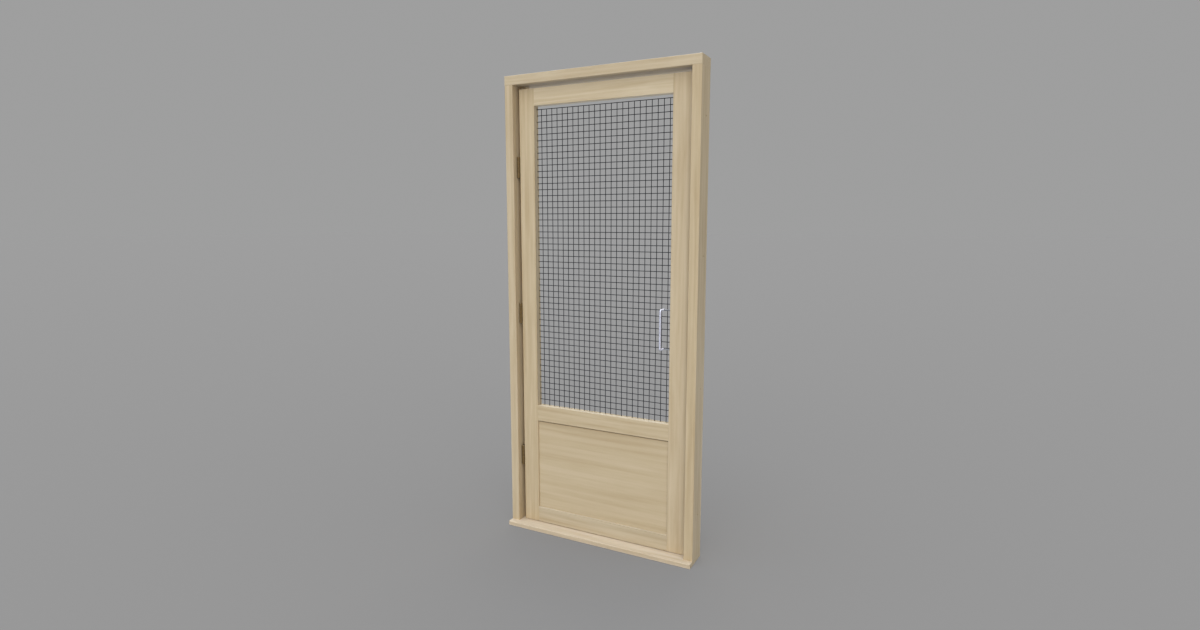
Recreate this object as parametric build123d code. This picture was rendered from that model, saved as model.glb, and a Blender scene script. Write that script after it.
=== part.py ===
from build123d import *
import os

# A timber screen door in its frame: a leaf with a wire mesh over a kick panel, hung on three butt hinges.
# Millimetres. X runs from the hinge side to the lock side, Y from the front to the back, Z up.
# The origin is the middle of the footprint, at the underside of the sill.

# Frame
frame_width = 930.0
frame_height = 2119.0
frame_depth = 104.0
frame_face = 41.0
sill_thick = 21.0
nose_out = 30.0
nose_round = 3.0
drip_radius = 2.5
drip_in = 12.0
arris = 1.2
tongue_thick = 20.0
tongue_rise = 10.0
tongue_setback = 15.0

# Leaf
hinge_gap = 14.5
lock_gap = 11.5
top_gap = 16.5
foot_gap = 2.5
leaf_recess = 33.0
leaf_thick = 35.0
stile_width = 78.5
top_rail_height = 76.0
mid_rail_height = 74.5
mid_rail_foot = 505.5
bottom_rail_height = 73.0
leaf_arris = 0.8
tenon_thick = 12.0
tenon_length = 50.0
tenon_inset = 14.0

# Kick panel and its fillet
panel_thick = 21.0
panel_recess = 7.0
panel_top_gap = 5.0
panel_side_clear = 0.4
panel_tongue_thick = 9.0
panel_tongue_length = 9.0
panel_groove_depth = 10.0
fillet_height = 22.0

# Wire mesh and its beads
wire_diameter = 3.1
wire_pitch_x = 27.0
wire_pitch_z = 27.36
wire_overhang = 1.5
wire_clear = 0.02
mesh_setback = 24.0
rebate_width = 12.0
wire_end_clear = 4.5

# Stop laths
stop_thick = 30.0
stop_lap = 14.0
stop_gap = 0.5

# Hinges
hinge_from_foot = 323.5
hinge_from_top = 344.5
hinge_height = 92.0
hinge_depth = 34.0
hinge_plate_thick = 3.0
hinge_corner = 3.0
hinge_edge = 0.5
hinge_screw_inset = 14.0
hinge_screw_setback = 8.0
hinge_forward = 2.0
knuckle_count = 5
knuckle_clear = 0.25
knuckle_gap = 0.4
knuckle_notch = 0.5
pin_diameter = 6.0
pin_clear = 0.05
pin_seat_clear = 0.02
pin_cap_height = 2.2
pin_cap_inset = 1.0

# Pull bar and the arms that carry it
pull_diameter = 9.0
pull_bend = 7.0
pull_inset = 36.5
pull_forward = 18.5
pull_foot_back = 18.0
pull_height = 170.0
pull_rise = 906.0
arm_thick = 2.5
arm_width = 10.0
arm_setback = 10.0
arm_tab = 30.0
arm_screw_steps = (10.0, 24.0)
arm_bend = 1.5
slot_clear = 0.05
rivet_diameter = 3.0

# Fasteners, each a countersunk head on a plain shank
fit_clear = 0.05
through = 1.0
frame_screw = {"head": 10.0, "shank": 5.0, "length": 90.0}
hinge_screw = {"head": 8.0, "shank": 4.0, "length": 28.0}
arm_screw = {"head": 6.0, "shank": 3.0, "length": 22.0}
catch_screw_size = {"head": 6.0, "shank": 3.0, "length": 16.0}
nail_size = {"head": 4.0, "shank": 2.5, "length": 50.0}
bead_pin_size = {"head": 2.2, "shank": 1.4, "length": 18.0}
frame_screw_insets = (30.0, 74.0)
stop_nail_count = 5
stop_nail_end = 120.0
side_bead_pin_count = 5
bead_pin_end = 90.0
bead_pin_inset = 2.5
bottom_pin_skip_count = 3

# Wall fixings through the jambs
fixing_radius = 4.0
hinge_fixing_end = 218.5
lock_fixing_end = 188.5
fixing_count = 4
fixing_setback = 61.0

# Magnetic catch
magnet_radius = 4.5
magnet_length = 12.0
catch_plate_radius = 5.0
catch_plate_thick = 2.5

# Planes of the frame
front = (nose_out - frame_depth) / 2
back = front + frame_depth
nose = front - nose_out
frame_left = -frame_width / 2
frame_right = frame_width / 2
jamb_left = frame_left + frame_face
jamb_right = frame_right - frame_face
head_foot = frame_height - frame_face

# Planes of the leaf
leaf_front = front + leaf_recess
leaf_back = leaf_front + leaf_thick
leaf_left = jamb_left + hinge_gap
leaf_right = jamb_right - lock_gap
leaf_foot = sill_thick + foot_gap
leaf_top = head_foot - top_gap
open_left = leaf_left + stile_width
open_right = leaf_right - stile_width
bottom_rail_top = leaf_foot + bottom_rail_height
mid_foot = leaf_foot + mid_rail_foot
mid_top = mid_foot + mid_rail_height
top_rail_foot = leaf_top - top_rail_height
leaf_middle = (leaf_front + leaf_back) / 2

# Planes of the panel, mesh and beads
panel_front = leaf_front + panel_recess
panel_back = panel_front + panel_thick
panel_middle = (panel_front + panel_back) / 2
panel_top = mid_foot - panel_top_gap
mesh_front = leaf_front + mesh_setback
crosswire_y = mesh_front + wire_diameter / 2
upright_y = crosswire_y + wire_diameter + wire_clear
bead_front = upright_y + wire_diameter / 2 + wire_clear
rebate_foot = mid_top - rebate_width

# Hinge axis, just in front of the leaf and in the middle of the hinge gap
axis_x = (jamb_left + leaf_left) / 2
axis_y = leaf_front - hinge_forward
knuckle_radius = hinge_gap / 2 - knuckle_clear

# Stops and catch
stop_front = leaf_back + stop_gap
stop_back = stop_front + stop_thick
hinge_stop_edge = leaf_left + stop_lap
lock_stop_edge = leaf_right - stop_lap
catch_x = leaf_right - stop_lap / 2

# Pull bar
pull_x = open_right - pull_inset
pull_y = leaf_front - pull_forward
pull_low = leaf_foot + pull_rise
pull_high = pull_low + pull_height
arm_front = leaf_front + arm_setback
arm_back = arm_front + arm_width
arm_middle = (arm_front + arm_back) / 2
catch_z = (pull_low + pull_high) / 2


def block(x, y, z):
    """A box between two values on each axis."""
    centre = [(low + high) / 2 for low, high in (x, y, z)]
    return Pos(*centre) * Box(x[1] - x[0], y[1] - y[0], z[1] - z[0])


def timber(x, y, z, grain, ease):
    """A planed section whose long edges, along the grain, are eased."""
    piece = block(x, y, z)
    return chamfer(piece.edges().filter_by(grain), ease)


def rod(start, end, radius):
    """A round bar between two points."""
    line = Vector(*end) - Vector(*start)
    place = Plane(origin=start, z_dir=line)
    return extrude(place * Circle(radius), line.length)


def fastener(size, at, towards, grow=0.0):
    """A countersunk screw, nail or pin, its head's face at one point, or the hole that it fills if grown."""
    head = size["head"] / 2 + grow
    shank = size["shank"] / 2 + grow
    length = size["length"] + grow
    outline = Polyline((0, 0), (head, 0), (shank, head - shank), (shank, length - shank), (0, length),
                       close=True)
    body = revolve(Plane.XZ * make_face(outline), Axis.Z)
    return Plane(origin=at, z_dir=towards).location * body


def fasteners(size, places, towards):
    """The same fastener at each place, and the holes for them."""
    bodies = [fastener(size, at, towards) for at in places]
    holes = [fastener(size, at, towards, fit_clear) for at in places]
    return bodies, holes


def spread(low, high, count):
    """Evenly spaced values from the first to the last."""
    return [low + (high - low) * i / (count - 1) for i in range(count)]


def made(name, *solids):
    """Writes one node: a single solid, or a group of separate ones."""
    shape = solids[0] if len(solids) == 1 else Compound(children=list(solids))
    shape.label = name
    export_step(shape, f"parts/{name}.step")


os.makedirs("parts", exist_ok=True)

# Fasteners of the frame: from the top of the head and the underside of the sill into the jambs
jamb_middles = [(frame_left + jamb_left) / 2, (frame_right + jamb_right) / 2]
frame_screw_spots = [(x, front + inset) for x in jamb_middles for inset in frame_screw_insets]
top_screws, top_holes = fasteners(
    frame_screw, [(x, y, frame_height) for x, y in frame_screw_spots], (0, 0, -1))
foot_screws, foot_holes = fasteners(
    frame_screw, [(x, y, 0) for x, y in frame_screw_spots], (0, 0, 1))

# Fasteners of the stops, driven across them into the jambs
nail_heights = spread(sill_thick + stop_nail_end, head_foot - stop_nail_end, stop_nail_count)
nail_y = (stop_front + stop_back) / 2
hinge_nails, hinge_nail_holes = fasteners(
    nail_size, [(hinge_stop_edge, nail_y, z) for z in nail_heights], (-1, 0, 0))
lock_nails, lock_nail_holes = fasteners(
    nail_size, [(lock_stop_edge, nail_y, z) for z in nail_heights], (1, 0, 0))

# Screws of the hinges, three in each plate, the middle one nearer to the knuckle
hinge_centres = {"bottom": leaf_foot + hinge_from_foot, "middle": (leaf_foot + leaf_top) / 2,
                 "top": leaf_top - hinge_from_top}
screw_rise = hinge_height / 2 - hinge_screw_inset
screw_back = hinge_depth - hinge_screw_setback
screw_layout = [(-screw_rise, screw_back), (0, hinge_depth / 2), (screw_rise, screw_back)]
hinge_screw_spots = [(axis_y + y, centre + z) for centre in hinge_centres.values() for z, y in screw_layout]
jamb_plate_face = jamb_left + hinge_plate_thick
leaf_plate_face = leaf_left - hinge_plate_thick
jamb_screws, jamb_screw_holes = fasteners(
    hinge_screw, [(jamb_plate_face, y, z) for y, z in hinge_screw_spots], (-1, 0, 0))
leaf_screws, leaf_screw_holes = fasteners(
    hinge_screw, [(leaf_plate_face, y, z) for y, z in hinge_screw_spots], (1, 0, 0))

# Places of the wires: as many as the opening takes, none nearer to the top rail than a pitch's remainder
crosswire_count = int((top_rail_foot - mid_top) / wire_pitch_z)
crosswire_heights = [mid_top + wire_pitch_z * (i + 1) for i in range(crosswire_count)]
crosswire_reach = rebate_width - wire_end_clear
opening_middle = (open_left + open_right) / 2
upright_count = int((open_right - open_left + 2 * crosswire_reach) / wire_pitch_x) + 1
half_span = wire_pitch_x * (upright_count - 1) / 2
upright_places = spread(opening_middle - half_span, opening_middle + half_span, upright_count)

# Pins of the beads, from the back of the leaf: beyond the cross wires' ends, and between two uprights
bead_pin_lines = [open_left - rebate_width + bead_pin_inset, open_right + rebate_width - bead_pin_inset]
bead_pin_heights = spread(rebate_foot + bead_pin_end, top_rail_foot - bead_pin_end, side_bead_pin_count)
bays = [(low + high) / 2 for low, high in zip(upright_places, upright_places[1:])]
bottom_pin_places = [bays[bottom_pin_skip_count], bays[len(bays) // 2], bays[-1 - bottom_pin_skip_count]]
bottom_pin_spots = [(x, mid_top - rebate_width / 2) for x in bottom_pin_places]
side_pin_spots = [(x, z) for x in bead_pin_lines for z in bead_pin_heights]
bead_pins, bead_pin_holes = fasteners(
    bead_pin_size, [(x, leaf_back, z) for x, z in side_pin_spots + bottom_pin_spots], (0, -1, 0))

# Screws of the pull bar's arms, two in each tab, into the lock stile's inner edge
arm_levels = {"lower": (pull_low, 1), "upper": (pull_high, -1)}
tab_spots = [z + turn * step for z, turn in arm_levels.values() for step in arm_screw_steps]
arm_screws, arm_screw_holes = fasteners(
    arm_screw, [(open_right - arm_thick, arm_middle, z) for z in tab_spots], (1, 0, 0))

# Screw of the catch plate, into the lock stile's back
catch_screws, catch_screw_holes = fasteners(catch_screw_size, [(catch_x, leaf_back, catch_z)], (0, -1, 0))

# Sill: a board under both jambs whose rounded nose stands out in front, with a drip groove beneath
sill_outline = Polyline((nose, 0), (back, 0), (back, sill_thick), (nose, sill_thick), close=True)
sill_face = make_face(sill_outline)
sill_face = fillet(sill_face.vertices().sort_by(Axis.X)[:2], nose_round)
sill_face -= Pos(nose + drip_in, 0) * Circle(drip_radius)
sill = extrude(Plane.YZ * sill_face, frame_width / 2, both=True)
for hole in foot_holes:
    sill -= hole
made("sill", sill)

# Head: laid across both jambs, grooved underneath for their tongues
head = timber((frame_left, frame_right), (front, back), (head_foot, frame_height), Axis.X, arris)
for x in jamb_middles:
    head -= block((x - tongue_thick / 2, x + tongue_thick / 2), (front + tongue_setback, back),
                  (head_foot, head_foot + tongue_rise))
for hole in top_holes:
    head -= hole
made("head", head)


def jamb(x, middle, fixing_end):
    """An upright of the frame with its tongue on top and the wall fixings through it."""
    piece = timber(x, (front, back), (sill_thick, head_foot), Axis.Z, arris)
    piece += block((middle - tongue_thick / 2, middle + tongue_thick / 2), (front + tongue_setback, back),
                   (head_foot, head_foot + tongue_rise))
    for hole in top_holes + foot_holes:
        piece -= hole
    for z in spread(sill_thick + fixing_end, head_foot - fixing_end, fixing_count):
        y = front + fixing_setback
        piece -= rod((x[0] - through, y, z), (x[1] + through, y, z), fixing_radius)
    return piece


hinge_jamb = jamb((frame_left, jamb_left), jamb_middles[0], hinge_fixing_end)
for hole in jamb_screw_holes + hinge_nail_holes:
    hinge_jamb -= hole
made("hinge_jamb", hinge_jamb)

lock_jamb = jamb((jamb_right, frame_right), jamb_middles[1], lock_fixing_end)
for hole in lock_nail_holes:
    lock_jamb -= hole
made("lock_jamb", lock_jamb)

# Stops: laths on the jambs, behind the leaf's edges
hinge_stop = timber((jamb_left, hinge_stop_edge), (stop_front, stop_back), (sill_thick, head_foot),
                    Axis.Z, arris)
for hole in hinge_nail_holes:
    hinge_stop -= hole
made("hinge_stop", hinge_stop)

lock_stop = timber((lock_stop_edge, jamb_right), (stop_front, stop_back), (sill_thick, head_foot),
                   Axis.Z, arris)
lock_stop -= rod((catch_x, stop_front - through, catch_z), (catch_x, stop_front + magnet_length, catch_z),
                 magnet_radius + fit_clear)
for hole in lock_nail_holes:
    lock_stop -= hole
made("lock_stop", lock_stop)

made("frame_screws", *top_screws, *foot_screws)
made("stop_nails", *hinge_nails, *lock_nails)
made("jamb_hinge_screws", *jamb_screws)

# Magnetic catch: a magnet in the lock stop, and a steel disc let into the leaf's back
magnet = rod((catch_x, stop_front, catch_z), (catch_x, stop_front + magnet_length, catch_z), magnet_radius)
made("catch_magnet", magnet)
catch_plate = rod((catch_x, leaf_back, catch_z), (catch_x, leaf_back - catch_plate_thick, catch_z),
                  catch_plate_radius)
for hole in catch_screw_holes:
    catch_plate -= hole
made("catch_plate", catch_plate)
made("catch_screw", *catch_screws)


def mortice(x, foot, top):
    """The pocket in a stile for the tenon of a rail between two heights."""
    return block(x, (leaf_middle - tenon_thick / 2, leaf_middle + tenon_thick / 2),
                 (foot + tenon_inset, top - tenon_inset))


def rail(foot, top):
    """A rail between the stiles with a tenon at each end."""
    piece = timber((open_left, open_right), (leaf_front, leaf_back), (foot, top), Axis.X, leaf_arris)
    return piece + mortice((open_left - tenon_length, open_right + tenon_length), foot, top)


rail_levels = [(leaf_foot, bottom_rail_top), (mid_foot, mid_top), (top_rail_foot, leaf_top)]
groove_sides = (panel_middle - panel_tongue_thick / 2, panel_middle + panel_tongue_thick / 2)


def cut_range(edge, away, depth):
    """The two X values of a cut from a stile's inner edge into it."""
    return tuple(sorted((edge, edge + away * depth)))


def stile(x, edge, away):
    """A full-height upright of the leaf: mortices, the panel's groove and the mesh's rebate."""
    piece = timber(x, (leaf_front, leaf_back), (leaf_foot, leaf_top), Axis.Z, leaf_arris)
    for foot, top in rail_levels:
        piece -= mortice(cut_range(edge, away, tenon_length), foot, top)
    piece -= block(cut_range(edge, away, panel_groove_depth), groove_sides,
                   (bottom_rail_top - panel_groove_depth, mid_foot))
    piece -= block(cut_range(edge, away, rebate_width), (mesh_front, leaf_back),
                   (rebate_foot, top_rail_foot))
    for hole in bead_pin_holes:
        piece -= hole
    return piece


hinge_stile = stile((leaf_left, open_left), open_left, -1)
for hole in leaf_screw_holes:
    hinge_stile -= hole
made("hinge_stile", hinge_stile)

lock_stile = stile((open_right, leaf_right), open_right, 1)
lock_stile -= rod((catch_x, leaf_back + through, catch_z), (catch_x, leaf_back - catch_plate_thick, catch_z),
                  catch_plate_radius + fit_clear)
for hole in arm_screw_holes + catch_screw_holes:
    lock_stile -= hole
made("lock_stile", lock_stile)

bottom_rail = rail(*rail_levels[0])
bottom_rail -= block((open_left, open_right), groove_sides,
                     (bottom_rail_top - panel_groove_depth, bottom_rail_top))
made("bottom_rail", bottom_rail)

mid_rail = rail(*rail_levels[1])
mid_rail -= block((open_left, open_right), (mesh_front, leaf_back), (rebate_foot, mid_top))
for hole in bead_pin_holes:
    mid_rail -= hole
made("mid_rail", mid_rail)

made("top_rail", rail(*rail_levels[2]))

# Kick panel: its tongue runs in the groove of stiles and bottom rail, its top edge is free
kick_panel = timber((open_left + panel_side_clear, open_right - panel_side_clear), (panel_front, panel_back),
                    (bottom_rail_top, panel_top), Axis.X, leaf_arris)
kick_panel += block((open_left - panel_tongue_length, open_right + panel_tongue_length), groove_sides,
                    (bottom_rail_top - panel_tongue_length, panel_top - panel_tongue_length))
made("kick_panel", kick_panel)

panel_fillet = timber((open_left, open_right), (panel_back, leaf_back), (mid_foot - fillet_height, mid_foot),
                      Axis.X, leaf_arris)
made("panel_fillet", panel_fillet)

# Wire mesh: uprights laid behind the cross wires, both cut off at the topmost cross wire
wire_left = open_left - crosswire_reach
wire_right = open_right + crosswire_reach
crosswires = [rod((wire_left, crosswire_y, z), (wire_right, crosswire_y, z), wire_diameter / 2)
              for z in crosswire_heights]
upright_foot = mid_top - crosswire_reach
upright_top = crosswire_heights[-1] + wire_overhang
uprights = [rod((x, upright_y, upright_foot), (x, upright_y, upright_top), wire_diameter / 2)
            for x in upright_places]
made("mesh_crosswires", *crosswires)
made("mesh_uprights", *uprights)

# Beads: laths in the rebates that hold the mesh from behind
beads = {
    "bead_hinge_side": ((open_left - rebate_width, open_left), (rebate_foot, top_rail_foot), Axis.Z),
    "bead_lock_side": ((open_right, open_right + rebate_width), (rebate_foot, top_rail_foot), Axis.Z),
    "bead_bottom": ((open_left, open_right), (rebate_foot, mid_top), Axis.X),
}
for name, (x, z, grain) in beads.items():
    bead = timber(x, (bead_front, leaf_back), z, grain, leaf_arris)
    for hole in bead_pin_holes:
        bead -= hole
    made(name, bead)
made("bead_pins", *bead_pins)

# Hinges: knuckles of the two plates take turns along one pin
knuckle_pitch = hinge_height / knuckle_count


def hinge_plate(centre, wall, face, turns, bore):
    """One half of a butt hinge: a flat plate with its own knuckles, notched beside the other half's."""
    foot = centre - hinge_height / 2
    flat_x = tuple(sorted((wall, face)))
    clear_y = axis_y + knuckle_radius + knuckle_notch
    plate = block(flat_x, (clear_y, axis_y + hinge_depth), (foot, foot + hinge_height))
    plate = fillet(plate.edges().filter_by(Axis.X).group_by(Axis.Y)[-1], hinge_corner)
    for i in turns:
        low = foot + i * knuckle_pitch + (knuckle_gap / 2 if i else 0)
        high = foot + (i + 1) * knuckle_pitch - (knuckle_gap / 2 if i < knuckle_count - 1 else 0)
        knuckle = rod((axis_x, axis_y, low), (axis_x, axis_y, high), knuckle_radius)
        plate += chamfer(knuckle.edges().filter_by(GeomType.CIRCLE), hinge_edge)
        plate += block(flat_x, (axis_y, clear_y), (low, high))
    plate -= rod((axis_x, axis_y, foot - through), (axis_x, axis_y, foot + hinge_height + through), bore)
    return plate


for name, centre in hinge_centres.items():
    fixed = hinge_plate(centre, jamb_left, jamb_plate_face, range(0, knuckle_count, 2),
                        pin_diameter / 2 + pin_seat_clear)
    for hole in jamb_screw_holes:
        fixed -= hole
    made(f"hinge_frame_plate_{name}", fixed)
    moving = hinge_plate(centre, leaf_left, leaf_plate_face, range(1, knuckle_count, 2),
                         pin_diameter / 2 + pin_clear)
    for hole in leaf_screw_holes:
        moving -= hole
    made(f"hinge_leaf_plate_{name}", moving)
    pin_foot = centre - hinge_height / 2
    pin_top = centre + hinge_height / 2
    pin = rod((axis_x, axis_y, pin_foot), (axis_x, axis_y, pin_top), pin_diameter / 2)
    for end, away in ((pin_foot, -1), (pin_top, 1)):
        cap = rod((axis_x, axis_y, end), (axis_x, axis_y, end + away * pin_cap_height),
                  knuckle_radius - pin_cap_inset)
        rim = cap.edges().filter_by(GeomType.CIRCLE).sort_by(Axis.Z)[::away][-1]
        pin += chamfer(rim, pin_cap_height / 2)
    made(f"hinge_pin_{name}", pin)
made("leaf_hinge_screws", *leaf_screws)

# Pull bar: a bent rod whose feet are slotted over the arms
pull_foot = leaf_front + pull_foot_back
pull_path = FilletPolyline((pull_x, pull_foot, pull_low), (pull_x, pull_y, pull_low),
                           (pull_x, pull_y, pull_high), (pull_x, pull_foot, pull_high), radius=pull_bend)
pull_section = Plane(origin=(pull_x, pull_foot, pull_low), z_dir=(0, -1, 0)) * Circle(pull_diameter / 2)
pull_handle = sweep(pull_section, path=pull_path)
rivet_y = (arm_front + pull_foot) / 2
rivets = []
arms = {}
for name, (z, turn) in arm_levels.items():
    slot = (z - arm_thick / 2 - slot_clear, z + arm_thick / 2 + slot_clear)
    pull_handle -= block((pull_x - pull_diameter, pull_x + pull_diameter),
                         (arm_front - slot_clear, pull_foot + through), slot)
    # Each arm is a flat strip, bent at the stile into a tab
    tip = pull_x - pull_diameter / 2
    tab = z + turn * arm_tab
    near = z + turn * arm_thick / 2
    far = z - turn * arm_thick / 2
    outline = Polyline((tip, far), (open_right, far), (open_right, tab), (open_right - arm_thick, tab),
                       (open_right - arm_thick, near), (tip, near), close=True)
    profile = make_face(outline)
    arm = extrude(Plane(origin=(0, arm_back, 0), x_dir=(1, 0, 0), z_dir=(0, -1, 0)) * profile, arm_width)
    bend = arm.edges().filter_by(Axis.Y).sort_by_distance((open_right, arm_middle, far))[0]
    arm = fillet(bend, arm_bend)
    # A vertical rivet goes through foot and arm
    half = pull_diameter / 2
    rivet = rod((pull_x, rivet_y, z - half), (pull_x, rivet_y, z + half), rivet_diameter / 2)
    hole = rod((pull_x, rivet_y, z - pull_diameter), (pull_x, rivet_y, z + pull_diameter),
               rivet_diameter / 2 + fit_clear)
    pull_handle -= hole
    arms[name] = arm - hole
    rivets.append(rivet)
for name, arm in arms.items():
    for hole in arm_screw_holes:
        arm -= hole
    made(f"handle_arm_{name}", arm)
made("pull_handle", pull_handle)
made("handle_rivets", *rivets)
made("handle_screws", *arm_screws)
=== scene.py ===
import bpy
import math
from mathutils import Matrix, Vector


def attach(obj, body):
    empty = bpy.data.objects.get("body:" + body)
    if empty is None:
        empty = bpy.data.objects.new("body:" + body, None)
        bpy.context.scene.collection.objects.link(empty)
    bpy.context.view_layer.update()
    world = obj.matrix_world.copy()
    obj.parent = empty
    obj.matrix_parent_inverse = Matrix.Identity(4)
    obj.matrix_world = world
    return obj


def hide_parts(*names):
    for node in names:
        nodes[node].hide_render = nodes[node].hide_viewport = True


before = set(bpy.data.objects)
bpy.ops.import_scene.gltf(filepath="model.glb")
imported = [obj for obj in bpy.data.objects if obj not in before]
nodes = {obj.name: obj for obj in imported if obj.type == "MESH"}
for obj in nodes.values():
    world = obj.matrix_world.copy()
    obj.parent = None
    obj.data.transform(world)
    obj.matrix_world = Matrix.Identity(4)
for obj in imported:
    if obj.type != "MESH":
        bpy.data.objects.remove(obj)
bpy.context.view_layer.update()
bpy.ops.object.select_all(action="DESELECT")  # the loaded nodes come in selected
print("frame loaded,", len(nodes), "CAD nodes")

# camera where the photo was taken from
photoView = {
    "place": (1.3386, -2.6066, 1.4669),
    "tilt": 82.08,  # degrees up from looking straight down
    "turn": 27.18,
    "lens": 19.93,
    "sensor": 36,
    "farthest": 200,
}
tilt = math.radians(photoView["tilt"])
turn = math.radians(photoView["turn"])
bpy.ops.object.camera_add(location=photoView["place"], rotation=(tilt, 0, turn))
camera = bpy.context.object
camera.data.sensor_width = photoView["sensor"]
camera.data.lens = photoView["lens"]
camera.data.clip_end = photoView["farthest"]
bpy.context.scene.camera = camera
bpy.context.scene.view_settings.view_transform = "Standard"
print("camera set")


def tone(red, green, blue):  # a colour as a screen shows it, 0 to 255
    shares = [value / 255 for value in (red, green, blue)]
    return tuple(((v + 0.055) / 1.055) ** 2.4 if v > 0.04045 else v / 12.92 for v in shares) + (1,)


def newFinish(name):
    material = bpy.data.materials.new(name)
    material.use_nodes = True
    tree = material.node_tree
    return material, tree, tree.nodes["Principled BSDF"]


def feed(tree, socket, value):  # value is a number, a colour or another node's output
    if isinstance(value, bpy.types.NodeSocket):
        tree.links.new(value, socket)
    else:
        socket.default_value = value


def added(tree, kind, values):  # a new node with its sockets fed
    node = tree.nodes.new("ShaderNode" + kind)
    for key, value in values.items():
        feed(tree, node.inputs[key], value)
    return node


def placed(tree, scale, shift=(0, 0, 0)):  # the piece's own coordinates, scaled and moved
    coords = tree.nodes.new("ShaderNodeTexCoord").outputs["Object"]
    return added(tree, "Mapping", {"Vector": coords, "Scale": scale, "Location": shift}).outputs["Vector"]


def noise(tree, vector, detail=3, rough=0.5, distort=0):
    values = {"Vector": vector, "Scale": 1, "Detail": detail, "Roughness": rough, "Distortion": distort}
    return added(tree, "TexNoise", values).outputs["Fac"]


def ramp(tree, source, stops, shades):
    node = added(tree, "ValToRGB", {"Fac": source})
    band = node.color_ramp
    while len(band.elements) < len(stops):
        band.elements.new(0.5)
    for element, stop, shade in zip(band.elements, stops, shades):
        element.position = stop
        element.color = shade
    return node.outputs["Color"]


def reckon(tree, kind, first, second=0.0):
    node = tree.nodes.new("ShaderNodeMath")
    node.operation = kind
    feed(tree, node.inputs[0], first)
    feed(tree, node.inputs[1], second)
    return node.outputs[0]


def weighted(tree, first, second, share):  # share is how much of the second is mixed in
    kept = reckon(tree, "MULTIPLY", first, 1 - share)
    mixedIn = reckon(tree, "MULTIPLY", second, share)
    return reckon(tree, "ADD", kept, mixedIn)


def blendColours(tree, factor, first, second):
    node = tree.nodes.new("ShaderNodeMix")
    node.data_type = "RGBA"
    for number, value in ((0, factor), (6, first), (7, second)):  # 6 and 7 are its colour sockets
        feed(tree, node.inputs[number], value)
    return node.outputs[2]


def blendShaders(tree, factor, first, second):
    return added(tree, "MixShader", {0: factor, 1: first, 2: second}).outputs[0]


def spanned(tree, source, oldSpan, newSpan):
    values = {"Value": source, "From Min": oldSpan[0], "From Max": oldSpan[1], "To Min": newSpan[0],
              "To Max": newSpan[1]}
    return added(tree, "MapRange", values).outputs["Result"]


def relief(tree, shader, source, strength, depth):
    bump = added(tree, "Bump", {"Height": source, "Strength": strength, "Distance": depth})
    tree.links.new(bump.outputs["Normal"], shader.inputs["Normal"])


# studio: a soft key from beside the camera, a wide top light, a weak one behind, and an even world
studio = {
    "lamps": {
        "key": {"strength": 2.05, "angle": 70, "towards": (-0.30, 0.83, -0.47), "colour": (1, 1, 1)},
        "top": {"strength": 3.8, "angle": 50, "towards": (0.00, 0.15, -0.99), "colour": (0.67, 0.83, 1.12)},
        "rear": {"strength": 1.5, "angle": 60, "towards": (0.30, -0.85, -0.45), "colour": (1, 1, 1)},
    },
    "lampPlace": (0, -3, 4),
    "world": 0.12,
    "backdrop": 0.345,
    "floor": (0.42, 0.415, 0.40),
    "floorSeen": (0.2405, 0.2115, 0.1755),
    "floorGlow": 0.6,
    "floorPaintedShade": 0.11,  # painted shade: how much less the floor glows at the door's foot than far away
    "floorReach": 2.0,
    "floorSize": 160,
}
white = (1, 1, 1, 1)
for lampName, lamp in studio["lamps"].items():
    bpy.ops.object.light_add(type="SUN", location=studio["lampPlace"])
    sun = bpy.context.object
    sun.name = lampName + "Light"
    sun.data.energy = lamp["strength"]
    sun.data.angle = math.radians(lamp["angle"])
    sun.data.color = lamp["colour"]
    sun.rotation_euler = Vector(lamp["towards"]).to_track_quat("-Z", "Y").to_euler()
print("lamps set,", len(studio["lamps"]))

# the world is even light, and a grey backdrop for the camera, gloss and glass
world = bpy.data.worlds.new("evenStudio")
bpy.context.scene.world = world
world.use_nodes = True
sky = world.node_tree
sky.nodes.clear()
even = added(sky, "Background", {"Color": white, "Strength": studio["world"]})
backdrop = added(sky, "Background", {"Color": white, "Strength": studio["backdrop"]})
rays = sky.nodes.new("ShaderNodeLightPath").outputs
seen = reckon(sky, "MAXIMUM", rays["Is Camera Ray"], rays["Is Glossy Ray"])
seen = reckon(sky, "MAXIMUM", seen, rays["Is Transmission Ray"])
added(sky, "OutputWorld", {"Surface": blendShaders(sky, seen, even.outputs[0], backdrop.outputs[0])})

# the camera sees a floor that glows as the backdrop does, so the shadows on it are soft, with painted shade
# that lowers its glow around the door's foot
bpy.ops.mesh.primitive_plane_add(size=studio["floorSize"], location=(0, 0, 0))
floor = bpy.context.object
floor.name = "paleFloor"
floorPaint = bpy.data.materials.new("paleFloor")
floorPaint.use_nodes = True
paint = floorPaint.node_tree
paint.nodes.clear()
pale = added(paint, "BsdfDiffuse", {"Color": studio["floor"] + (1,)})
grey = added(paint, "BsdfDiffuse", {"Color": studio["floorSeen"] + (1,)})
fromDoor = added(paint, "VectorMath", {0: placed(paint, (1 / studio["floorReach"],) * 3)})
fromDoor.operation = "LENGTH"
farness = reckon(paint, "ADD", fromDoor.outputs["Value"], 1.0)
# painted shade: the floor's glow is lowered near the door's foot
paintedShadeNearDoor = reckon(paint, "DIVIDE", studio["floorPaintedShade"], farness)
glow = added(paint, "Emission", {"Strength": reckon(paint, "SUBTRACT", studio["backdrop"], paintedShadeNearDoor)})
softened = blendShaders(paint, studio["floorGlow"], grey.outputs[0], glow.outputs[0])
isSeen = paint.nodes.new("ShaderNodeLightPath").outputs["Is Camera Ray"]
added(paint, "OutputMaterial", {"Surface": blendShaders(paint, isSeen, pale.outputs[0], softened)})
floor.data.materials.append(floorPaint)
print("floor laid")

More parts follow.
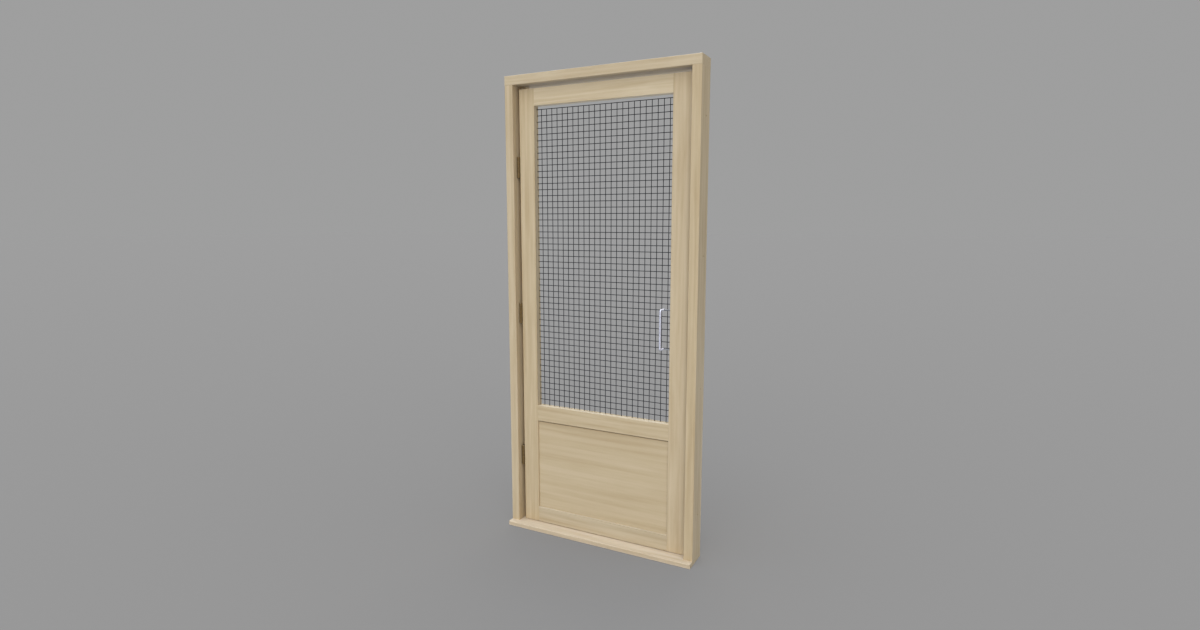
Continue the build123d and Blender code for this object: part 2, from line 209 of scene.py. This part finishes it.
# timber: pale, planed, with soft streaks along the grain
timber = {
    "light": (198, 177, 142),
    "middle": (189, 167, 131),
    "dark": (178, 154, 116),
    "stops": (0.33, 0.5, 0.68),
    "solid": {"width": 0.016, "length": 0.55, "waver": 0.5, "broad": 0.3, "calm": 0.0},
    "veneer": {"width": 0.021, "length": 0.9, "waver": 0.3, "broad": 0.35, "calm": 0.25},
    "broadWidth": 4,  # the broad figure against the streaks
    "broadLength": 0.7,
    "broadWaver": 2,
    "fibreWidth": 0.0010,
    "fibreLength": 0.05,
    "fibreRough": 0.6,
    "fibreShare": 0.25,
    "roughness": (0.50, 0.66),
    "shine": 0.3,
    "reliefStrength": 0.35,
    "relief": 0.00025,
    "boardStep": 0.37,  # each board shows another stretch of the figure
    "boardShift": (1.7, 2.3, 3.1),
}
cutEnd = {  # an end shows rings and a darker face
    "light": (192, 170, 134),
    "dark": (174, 150, 112),
    "stops": (0.1, 0.6),
    "heart": (0.31, 0.17, 0.23),
    "ringScale": 85,
    "waver": 3.5,
    "detail": 3,
    "detailScale": 0.6,
    "facing": 0.8,  # a face is an end if it turns this far along the grain
}
noiseMiddle = 0.5
noiseSpan = (0.3, 0.7)  # where nearly all values of a noise lie


def drawnOut(grain, across, length):  # scale of a pattern that is drawn out along one axis
    return tuple(1 / length if axis == grain else 1 / across for axis in "XYZ")


def ringColour(tree, grain):
    values = {
        "Vector": placed(tree, (1, 1, 1), cutEnd["heart"]),
        "Scale": cutEnd["ringScale"],
        "Distortion": cutEnd["waver"],
        "Detail": cutEnd["detail"],
        "Detail Scale": cutEnd["detailScale"],
    }
    rings = added(tree, "TexWave", values)
    rings.wave_type = "RINGS"
    rings.rings_direction = grain
    shades = (tone(*cutEnd["dark"]), tone(*cutEnd["light"]))
    return ramp(tree, rings.outputs["Fac"], cutEnd["stops"], shades)


def isCutEnd(tree, grain):
    facing = added(tree, "SeparateXYZ", {0: tree.nodes.new("ShaderNodeTexCoord").outputs["Normal"]})
    return reckon(tree, "GREATER_THAN", reckon(tree, "ABSOLUTE", facing.outputs[grain]), cutEnd["facing"])


def timberFinish(name, grain, shift, look, tint):
    material, tree, shader = newFinish(name)
    board = tuple(shift * step for step in timber["boardShift"])
    streakScale = drawnOut(grain, look["width"], look["length"])
    broadWidth = look["width"] * timber["broadWidth"]
    broadLength = look["length"] * timber["broadLength"]
    broadScale = drawnOut(grain, broadWidth, broadLength)
    fibreScale = drawnOut(grain, timber["fibreWidth"], timber["fibreLength"])
    streak = noise(tree, placed(tree, streakScale, board), distort=look["waver"])
    broad = noise(tree, placed(tree, broadScale, board), distort=look["waver"] * timber["broadWaver"])
    fibre = noise(tree, placed(tree, fibreScale, board), rough=timber["fibreRough"])
    fineLines = reckon(tree, "MULTIPLY", reckon(tree, "SUBTRACT", fibre, noiseMiddle), timber["fibreShare"])
    figure = weighted(tree, weighted(tree, streak, broad, look["broad"]), noiseMiddle, look["calm"])
    figure = reckon(tree, "ADD", figure, fineLines)
    shades = [tone(*(a + b for a, b in zip(timber[key], tint))) for key in ("dark", "middle", "light")]
    face = ramp(tree, figure, timber["stops"], shades)
    colour = blendColours(tree, isCutEnd(tree, grain), face, ringColour(tree, grain))
    tree.links.new(colour, shader.inputs["Base Color"])
    tree.links.new(spanned(tree, fibre, noiseSpan, timber["roughness"]), shader.inputs["Roughness"])
    shader.inputs["Specular IOR Level"].default_value = timber["shine"]
    relief(tree, shader, fibre, timber["reliefStrength"], timber["relief"])
    return material


def coat(node, material):
    shape = nodes[node].data
    shape.materials.clear()
    shape.materials.append(material)


# how much paler or warmer each board is than the timber's own shades; the top rail's paler tint is painted
# light that lifts the shade the head casts on it
uprightBoards = {
    "hinge_jamb": (0, 0, 1), "lock_jamb": (-2, -3, -4), "hinge_stop": (0, 0, 0), "lock_stop": (0, 0, 0),
    "hinge_stile": (1, 1, 1), "lock_stile": (3, 3, 4), "bead_hinge_side": (0, 0, 0),
    "bead_lock_side": (0, 0, 0),
}
levelBoards = {
    # the top rail's tint is painted light, paler to lift the head's shadow on it
    "head": (2, 3, 5), "sill": (3, 3, 7), "top_rail": (15, 17, 19), "mid_rail": (0, 0, 0),
    "bottom_rail": (-3, 0, 4), "panel_fillet": (0, 0, 0), "bead_bottom": (0, 0, 0), "kick_panel": (0, 0, 0),
}
boards = [(node, "Z", tint) for node, tint in uprightBoards.items()]
boards += [(node, "X", tint) for node, tint in levelBoards.items()]
for number, (node, grain, tint) in enumerate(boards, start=1):
    look = timber["veneer" if node == "kick_panel" else "solid"]
    coat(node, timberFinish(node + "Timber", grain, timber["boardStep"] * number, look, tint))
print("timber finished,", len(boards), "boards")

# metals: dark coated wire, bronze hinges, satin bar, dull arms, zinc plated fasteners and the magnet
wire = {
    "first": (8, 9, 12), "second": (21, 22, 26), "roughness": (0.5, 0.7), "metallic": 0.0, "shine": 0.25,
    "grain": 160, "relief": 0.00008,
}
bronze = {
    "first": (87, 66, 31), "second": (115, 90, 48), "roughness": (0.36, 0.58), "metallic": 0.35,
    "shine": 0.5, "grain": 90, "relief": 0.00012,
}
wornBronze = {
    "first": (108, 90, 56), "second": (148, 128, 88), "roughness": (0.34, 0.55), "metallic": 0.5,
    "shine": 0.5, "grain": 200, "relief": 0.00006,
}
satinSteel = {
    "first": (196, 192, 199), "second": (216, 212, 218), "roughness": (0.26, 0.38), "metallic": 0.45,
    "shine": 0.5, "grain": 120, "relief": 0.00003, "stretch": (6, 6, 0.4),  # brushed along the bar
}
dullPlating = {
    "first": (112, 112, 114), "second": (136, 136, 138), "roughness": (0.5, 0.65), "metallic": 0.1,
    "shine": 0.5, "grain": 200, "relief": 0.00003,
}
zinc = {
    "first": (116, 117, 118), "second": (148, 149, 148), "roughness": (0.52, 0.68), "metallic": 0.6,
    "shine": 0.35, "grain": 260, "relief": 0.00004,
}
magnetSkin = {
    "first": (58, 58, 60), "second": (80, 80, 82), "roughness": (0.4, 0.6), "metallic": 0.4, "shine": 0.5,
    "grain": 220, "relief": 0.00005,
}
metalPatches = {
    "broad": {"detail": 4, "rough": 0.6, "distort": 0.4},
    "fine": {"rough": 0.65},
    "fineScale": 9,  # the fine patches against the broad ones
    "fineShare": 0.3,
    "stops": (0.35, 0.65),
    "reliefStrength": 0.3,
}


def metalFinish(name, metal):
    material, tree, shader = newFinish(name)
    stretch = metal.get("stretch", (1, 1, 1))
    broadScale = tuple(metal["grain"] * share for share in stretch)
    fineScale = tuple(metal["grain"] * metalPatches["fineScale"] * share for share in stretch)
    broad = noise(tree, placed(tree, broadScale), **metalPatches["broad"])
    fine = noise(tree, placed(tree, fineScale), **metalPatches["fine"])
    patchy = weighted(tree, broad, fine, metalPatches["fineShare"])
    colour = ramp(tree, patchy, metalPatches["stops"], (tone(*metal["first"]), tone(*metal["second"])))
    tree.links.new(colour, shader.inputs["Base Color"])
    tree.links.new(spanned(tree, patchy, noiseSpan, metal["roughness"]), shader.inputs["Roughness"])
    shader.inputs["Metallic"].default_value = metal["metallic"]
    shader.inputs["Specular IOR Level"].default_value = metal["shine"]
    relief(tree, shader, fine, metalPatches["reliefStrength"], metal["relief"])
    return material


wireCoat = metalFinish("wireCoat", wire)
hingeBronze = metalFinish("hingeBronze", bronze)
pinBronze = metalFinish("pinBronze", wornBronze)
satinBar = metalFinish("satinBar", satinSteel)
armPlating = metalFinish("armPlating", dullPlating)
zincPlate = metalFinish("zincPlate", zinc)

for node in nodes:
    if node.startswith("mesh_"):
        coat(node, wireCoat)
    elif node.startswith("hinge_pin"):
        coat(node, pinBronze)
    elif "plate_" in node and node.startswith("hinge_"):
        coat(node, hingeBronze)
    elif node.startswith("handle_arm"):
        coat(node, armPlating)
coat("pull_handle", satinBar)
for node in ("frame_screws", "stop_nails", "bead_pins", "handle_rivets", "catch_plate"):
    coat(node, zincPlate)
coat("catch_magnet", metalFinish("magnetSkin", magnetSkin))
print("metals finished")


def selectOnly(piece):
    if bpy.context.object and bpy.context.object.mode != "OBJECT":
        bpy.ops.object.mode_set(mode="OBJECT")
    bpy.ops.object.select_all(action="DESELECT")
    piece.select_set(True)
    bpy.context.view_layer.objects.active = piece


def applyModifiers(piece):
    selectOnly(piece)
    for modifier in list(piece.modifiers):
        bpy.ops.object.modifier_apply(modifier=modifier.name)


def finishPiece(piece, name, body, material):
    selectOnly(piece)
    bpy.ops.object.transform_apply(location=True, rotation=True, scale=True)
    piece.name = name
    piece.data.name = name
    piece.data.materials.clear()
    piece.data.materials.append(material)
    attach(piece, body)


# weld nuggets, one where each upright crosses a cross wire
welds = {
    "size": (0.0023, 0.0016, 0.0023),
    "turn": 0.45,
    "pitchX": 0.027,
    "pitchZ": 0.02736,
    "uprights": 26,
    "crossWires": 50,
    "middle": 0.0015,  # the opening's middle
    "plane": 0.02311,  # where the uprights meet the cross wires
    "foot": 0.6035,  # the mid rail's top, one pitch below the first cross wire
}
firstWeld = (welds["middle"] - welds["pitchX"] * (welds["uprights"] - 1) / 2, welds["plane"],
             welds["foot"] + welds["pitchZ"])
bpy.ops.object.select_all(action="DESELECT")
bpy.ops.mesh.primitive_ico_sphere_add(subdivisions=1, radius=1, location=firstWeld)
nuggets = bpy.context.object
bpy.ops.object.mode_set(mode="EDIT")
bpy.ops.transform.resize(value=welds["size"], center_override=firstWeld)
bpy.ops.transform.rotate(value=welds["turn"], orient_axis="Y", center_override=firstWeld)
bpy.ops.object.mode_set(mode="OBJECT")
rows = ((welds["uprights"], (welds["pitchX"], 0, 0)), (welds["crossWires"], (0, 0, welds["pitchZ"])))
for count, step in rows:
    row = nuggets.modifiers.new("row", "ARRAY")
    row.count = count
    row.use_relative_offset = False
    row.use_constant_offset = True
    row.constant_offset_displace = step
applyModifiers(nuggets)
finishPiece(nuggets, "weldNuggets", "leaf", wireCoat)
print("welds made,", welds["uprights"] * welds["crossWires"])

# countersunk screws with a cross recess, modelled once for each size
screwSizes = {
    "hinge": {"head": 0.004, "shank": 0.002, "length": 0.028, "recess": 0.0016, "slot": 0.0007},
    "handle": {"head": 0.003, "shank": 0.0015, "length": 0.022, "recess": 0.0012, "slot": 0.0006},
    "catch": {"head": 0.003, "shank": 0.0015, "length": 0.016, "recess": 0.0012, "slot": 0.0006},
}
screwForm = {
    "sides": 24,
    "rim": 0.0003,  # the head's rim, before its cone
    "point": 0.25,  # the pointed share of what lies below the cone
    "pointWidth": 0.15,
    "recessReach": 1.15,  # from tip to tip, against the head's radius
    "recessTurn": 20,
    "spin": 0.9,  # each screw of a set is driven to another angle
}


def makeScrew(size):  # its head's face is at the origin and it points down
    bpy.ops.object.select_all(action="DESELECT")
    bpy.ops.mesh.primitive_circle_add(vertices=screwForm["sides"], radius=size["head"], fill_type="NGON",
                                      location=(0, 0, 0))
    screw = bpy.context.object
    bpy.ops.object.mode_set(mode="EDIT")
    bpy.ops.mesh.select_all(action="SELECT")
    cone = size["head"] - size["shank"]
    belowCone = size["length"] - cone
    steps = (
        (screwForm["rim"], 1),
        (cone - screwForm["rim"], size["shank"] / size["head"]),
        (belowCone * (1 - screwForm["point"]), 1),
        (belowCone * screwForm["point"], screwForm["pointWidth"]),
    )
    for depth, narrowing in steps:
        bpy.ops.mesh.extrude_region_move(TRANSFORM_OT_translate={"value": (0, 0, -depth)})
        bpy.ops.transform.resize(value=(narrowing, narrowing, 1), center_override=(0, 0, 0))
    bpy.ops.mesh.select_all(action="SELECT")
    bpy.ops.mesh.normals_make_consistent(inside=False)
    bpy.ops.object.mode_set(mode="OBJECT")
    cutters = []
    for quarter in (0, 90):
        bpy.ops.mesh.primitive_cube_add(size=1, location=(0, 0, 0))
        cutter = bpy.context.object
        cutter.scale = (size["head"] * screwForm["recessReach"], size["slot"], size["recess"] * 2)
        cutter.rotation_euler = (0, 0, math.radians(quarter + screwForm["recessTurn"]))
        bpy.ops.object.transform_apply(location=False, rotation=True, scale=True)
        cutters.append(cutter)
    for cutter in cutters:
        cut = screw.modifiers.new("recess", "BOOLEAN")
        cut.operation = "DIFFERENCE"
        cut.solver = "EXACT"
        cut.object = cutter
    applyModifiers(screw)
    for cutter in cutters:
        bpy.data.objects.remove(cutter)
    return screw


def drive(size, places, inward, name, body, material, replaced):  # one piece of equal screws
    screw = makeScrew(size)
    turned = Vector((0, 0, -1)).rotation_difference(Vector(inward)).to_matrix().to_4x4()
    copies = []
    for number, place in enumerate(places):
        copied = screw.copy()
        copied.data = screw.data.copy()
        bpy.context.collection.objects.link(copied)
        spun = Matrix.Rotation(number * screwForm["spin"], 4, "Z")
        copied.data.transform(Matrix.Translation(Vector(place)) @ turned @ spun)
        copies.append(copied)
    bpy.data.objects.remove(screw)
    selectOnly(copies[0])
    for copied in copies[1:]:
        copied.select_set(True)
    bpy.ops.object.join()
    piece = bpy.context.object
    finishPiece(piece, name, body, material)
    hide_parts(replaced)


# three hinge screws in each plate, the middle one nearer to the knuckle
hingeScrews = {
    "centres": (0.347, 1.0425, 1.717),
    "rise": 0.032,
    "back": 0.020,
    "middleBack": 0.011,
    "jambFace": -0.421,
    "leafFace": -0.4125,
}
inPlate = ((-hingeScrews["rise"], hingeScrews["back"]), (0, hingeScrews["middleBack"]),
           (hingeScrews["rise"], hingeScrews["back"]))
screwPlaces = [(y, centre + z) for centre in hingeScrews["centres"] for z, y in inPlate]
drive(screwSizes["hinge"], [(hingeScrews["jambFace"], y, z) for y, z in screwPlaces], (-1, 0, 0),
      "jambHingeScrewSet", "frame", pinBronze, "jamb_hinge_screws")
drive(screwSizes["hinge"], [(hingeScrews["leafFace"], y, z) for y, z in screwPlaces], (1, 0, 0),
      "leafHingeScrewSet", "leaf", pinBronze, "leaf_hinge_screws")

# two screws in the tab of each arm, and one through the catch plate
handleScrews = {"face": 0.3315, "depth": 0.011, "heights": (0.9395, 0.9535, 1.0895, 1.0755)}
tabPlaces = [(handleScrews["face"], handleScrews["depth"], z) for z in handleScrews["heights"]]
drive(screwSizes["handle"], tabPlaces, (1, 0, 0), "handleScrewSet", "leaf", armPlating,
      "handle_screws")
catchScrew = {"face": (0.4055, 0.031, 1.0145)}
drive(screwSizes["catch"], [catchScrew["face"]], (0, -1, 0), "catchScrewHead", "leaf",
      zincPlate, "catch_screw")
print("screws driven")
